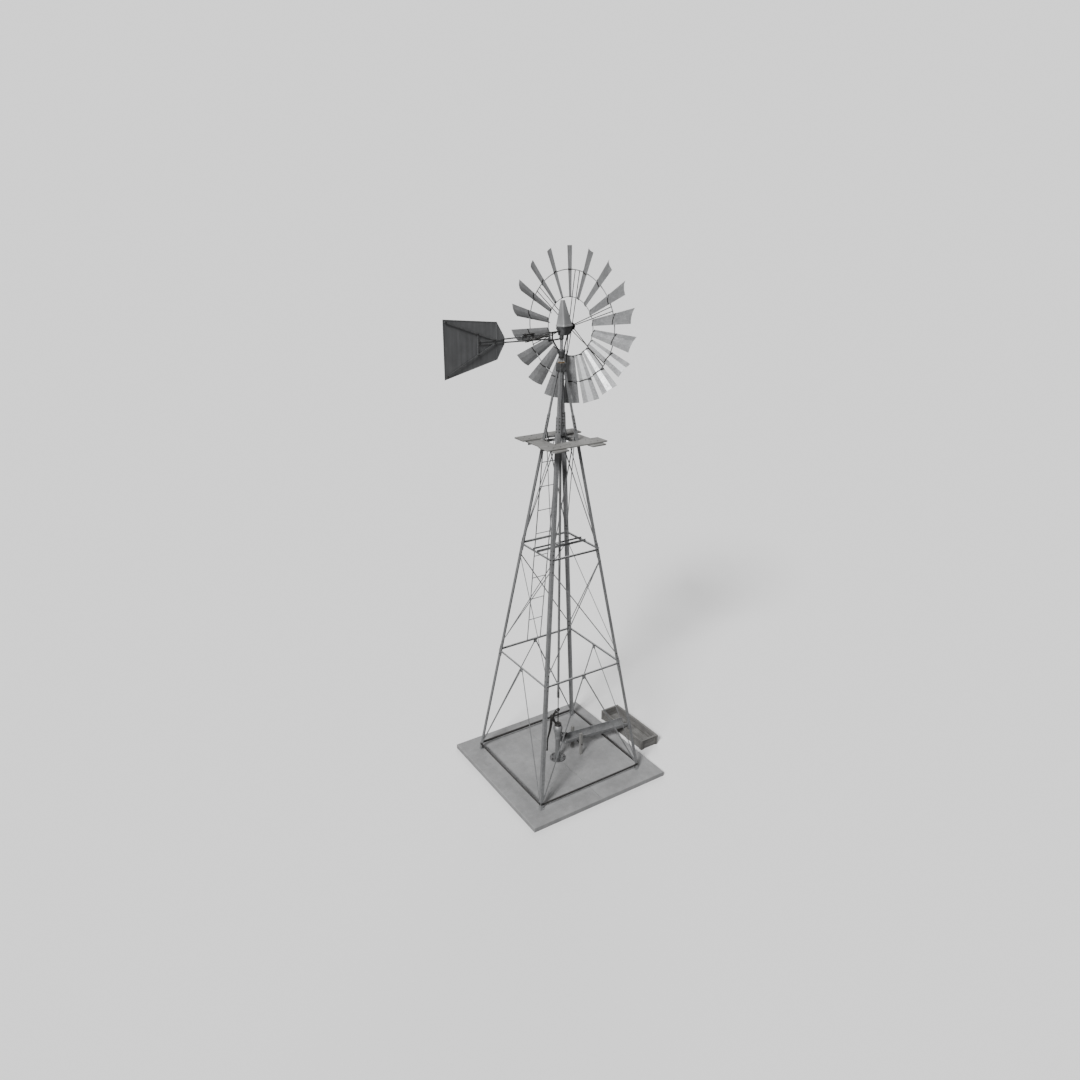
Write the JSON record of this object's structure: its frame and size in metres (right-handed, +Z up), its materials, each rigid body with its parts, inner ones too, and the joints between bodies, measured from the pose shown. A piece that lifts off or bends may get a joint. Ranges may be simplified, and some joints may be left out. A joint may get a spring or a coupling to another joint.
{
  "type": "farm windmill",
  "caption": "Farm windmill on a braced steel tower with multi-blade wheel, hinged tail vane, geared head, wind and hand water pump, chute and trough.",
  "frame": {"origin": "on the mast axis, at the slab's underside, in the mouth of the well opening", "axes": "+Z up along the mast; +X towards the chute and the trough; +Y towards the ladder side"},
  "size_m": [4.3921, 2.86, 9.3448],
  "materials": {
    "concrete": "float-finished pale concrete",
    "galvanised": "weathered galvanised steel",
    "dark_iron": "dark painted iron, worn at its edges",
    "weathered_wood": "silver-grey weathered boards",
    "vane_sheet": "dull grey painted sheet",
    "hood_sheet": "pale galvanised sheet",
    "blade_sheet": "galvanised sheet",
    "bright_steel": "turned steel, oiled",
    "bronze": "bearing bronze"
  },
  "bodies": {
    "tower": {"cap_bearing": "bronze", "chute_fittings": "dark_iron", "chute_stakes": "weathered_wood", "foot_girts": "dark_iron", "foot_plates": "galvanised", "foundation_slab": "concrete", "handle_stand": "dark_iron", "ladder": "galvanised", "leg_front": "galvanised", "leg_left": "galvanised", "leg_rear": "galvanised", "leg_right": "galvanised", "lower_chute": "galvanised", "mast_guide": "dark_iron", "platform_bearers": "galvanised", "platform_boards": "weathered_wood", "pump_base": "dark_iron", "pump_bolts": "dark_iron", "pump_cap": "dark_iron", "pump_chamber": "galvanised", "pump_column": "galvanised", "rod_guide": "galvanised", "spout_nozzle": "dark_iron", "tank_boards": "weathered_wood", "tank_trim": "weathered_wood", "tower_bolts": "dark_iron", "tower_cap": "dark_iron", "tower_girts": "galvanised", "upper_chute": "galvanised", "v_braces": "galvanised", "x_braces": "galvanised"},
    "rod": {"pump_rod": "weathered_wood", "polished_rod": "bright_steel", "upper_rod": "bright_steel", "rod_fittings": "dark_iron"},
    "handle": {"pump_handle": "dark_iron"},
    "head": {"mast_pipe": "galvanised", "gear_case": "dark_iron", "gear_hood": "hood_sheet", "gear_pins": "bright_steel", "mast_yoke": "dark_iron", "tail_bracket": "dark_iron", "tail_hinge_pin": "bright_steel"},
    "furl_collar": {"furl_ring": "dark_iron"},
    "gears": {"drive_gears": "dark_iron"},
    "crosshead_unit": {"crosshead": "dark_iron", "pitman_arms": "dark_iron"},
    "wheel": {"wheel_shaft": "bright_steel", "wheel_hub": "dark_iron", "wheel_arms": "dark_iron", "wheel_rings": "galvanised", "wheel_blades": "blade_sheet", "blade_clips": "dark_iron"},
    "tail": {"hinge_tube": "galvanised", "tail_chords": "galvanised", "tail_vane": "vane_sheet", "vane_stiffeners": "galvanised", "tail_bolts": "dark_iron", "furl_fittings": "dark_iron", "tail_spring": "dark_iron"}
  },
  "joints": [
    {"name": "head_yaw", "type": "hinge", "parent": "tower", "child": "head", "pos_m": [0, 0, 7.5], "axis": [0, 0, 1], "continuous": true},
    {"name": "wheel_spin", "type": "hinge", "parent": "head", "child": "wheel", "pos_m": [0.2552, 0.1256, 8.12], "axis": [0.9609, 0.277, 0], "continuous": true},
    {"name": "gear_spin", "type": "hinge", "parent": "head", "child": "gears", "pos_m": [0, 0, 8.17111], "axis": [0.9609, 0.277, 0], "continuous": true},
    {"name": "tail_furl", "type": "hinge", "parent": "head", "child": "tail", "pos_m": [-0.27962, -0.0806, 8.024], "axis": [0, 0, 1], "range_deg": [-85, 0], "stiffness_Nm_per_rad": 20, "springref_deg": 20.05},
    {"name": "furl_ring_slide", "type": "slide", "parent": "head", "child": "furl_collar", "axis": [0, 0, 1], "range_m": [-0.042, 0]},
    {"name": "pump_rod_slide", "type": "slide", "parent": "tower", "child": "rod", "axis": [0, 0, 1], "range_m": [-0.084, 0]},
    {"name": "crosshead_slide", "type": "slide", "parent": "head", "child": "crosshead_unit", "axis": [0, 0, 1], "range_m": [-0.084, 0]},
    {"name": "pump_handle_hinge", "type": "hinge", "parent": "tower", "child": "handle", "pos_m": [-0.137, 0, 1.071], "axis": [0, 1, 0], "range_deg": [0, 30.2]}
  ],
  "couplings": [
    {"joint": "gear_spin", "follows": "wheel_spin", "ratio": -0.3},
    {"joint": "furl_ring_slide", "follows": "tail_furl", "m_per_rad": 0.0283},
    {"joint": "crosshead_slide", "follows": "pump_rod_slide", "ratio": 1},
    {"joint": "pump_handle_hinge", "follows": "pump_rod_slide", "rad_per_m": -6.2645}
  ]
}
